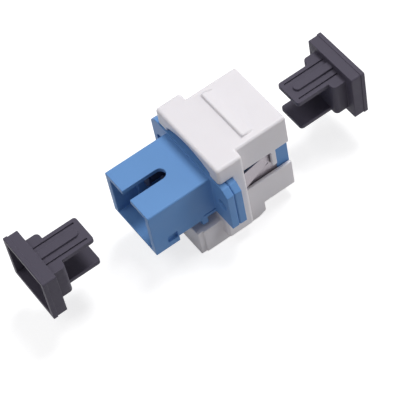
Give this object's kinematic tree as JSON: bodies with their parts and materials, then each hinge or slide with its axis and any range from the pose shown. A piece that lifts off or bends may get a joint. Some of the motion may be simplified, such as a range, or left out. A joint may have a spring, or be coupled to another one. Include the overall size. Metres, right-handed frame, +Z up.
{
  "type": "keystone fibre coupler",
  "caption": "Snap-in keystone housing that holds a fibre coupler with a square plug port at each end, shown with its dust caps pulled off.",
  "frame": {"origin": "on the underside of the housing's foot, straight below the joint between the two halves of the adapter", "axes": "+Y along the plug axis, out of the wall plate; +Z up, from the foot to the latch; the plug axis is 12.5 mm above the foot"},
  "size_m": [0.0224, 0.0661, 0.0218],
  "materials": {
    "white_abs": "satin moulded",
    "blue_pbt": "satin moulded",
    "stainless_spring": "rolled",
    "blue_insert": "satin moulded",
    "zirconia": "ground ceramic",
    "black_cap": "matt moulded"
  },
  "bodies": {
    "coupler": {"keystone_housing": "white_abs", "rear_adapter_housing": "blue_pbt", "front_adapter_housing": "blue_pbt", "retaining_clip": "stainless_spring", "rear_latch_insert": "blue_insert", "front_latch_insert": "blue_insert", "alignment_sleeve": "zirconia"},
    "rear_cap": {"rear_dust_cap": "black_cap"},
    "front_cap": {"front_dust_cap": "black_cap"}
  },
  "joints": [
    {"name": "rear_cap_slide", "type": "slide", "parent": "coupler", "child": "rear_cap", "axis": [0, 1, 0], "range_m": [0, 0.01775]},
    {"name": "front_cap_slide", "type": "slide", "parent": "coupler", "child": "front_cap", "axis": [0, -1, 0], "range_m": [0, 0.0145]}
  ]
}
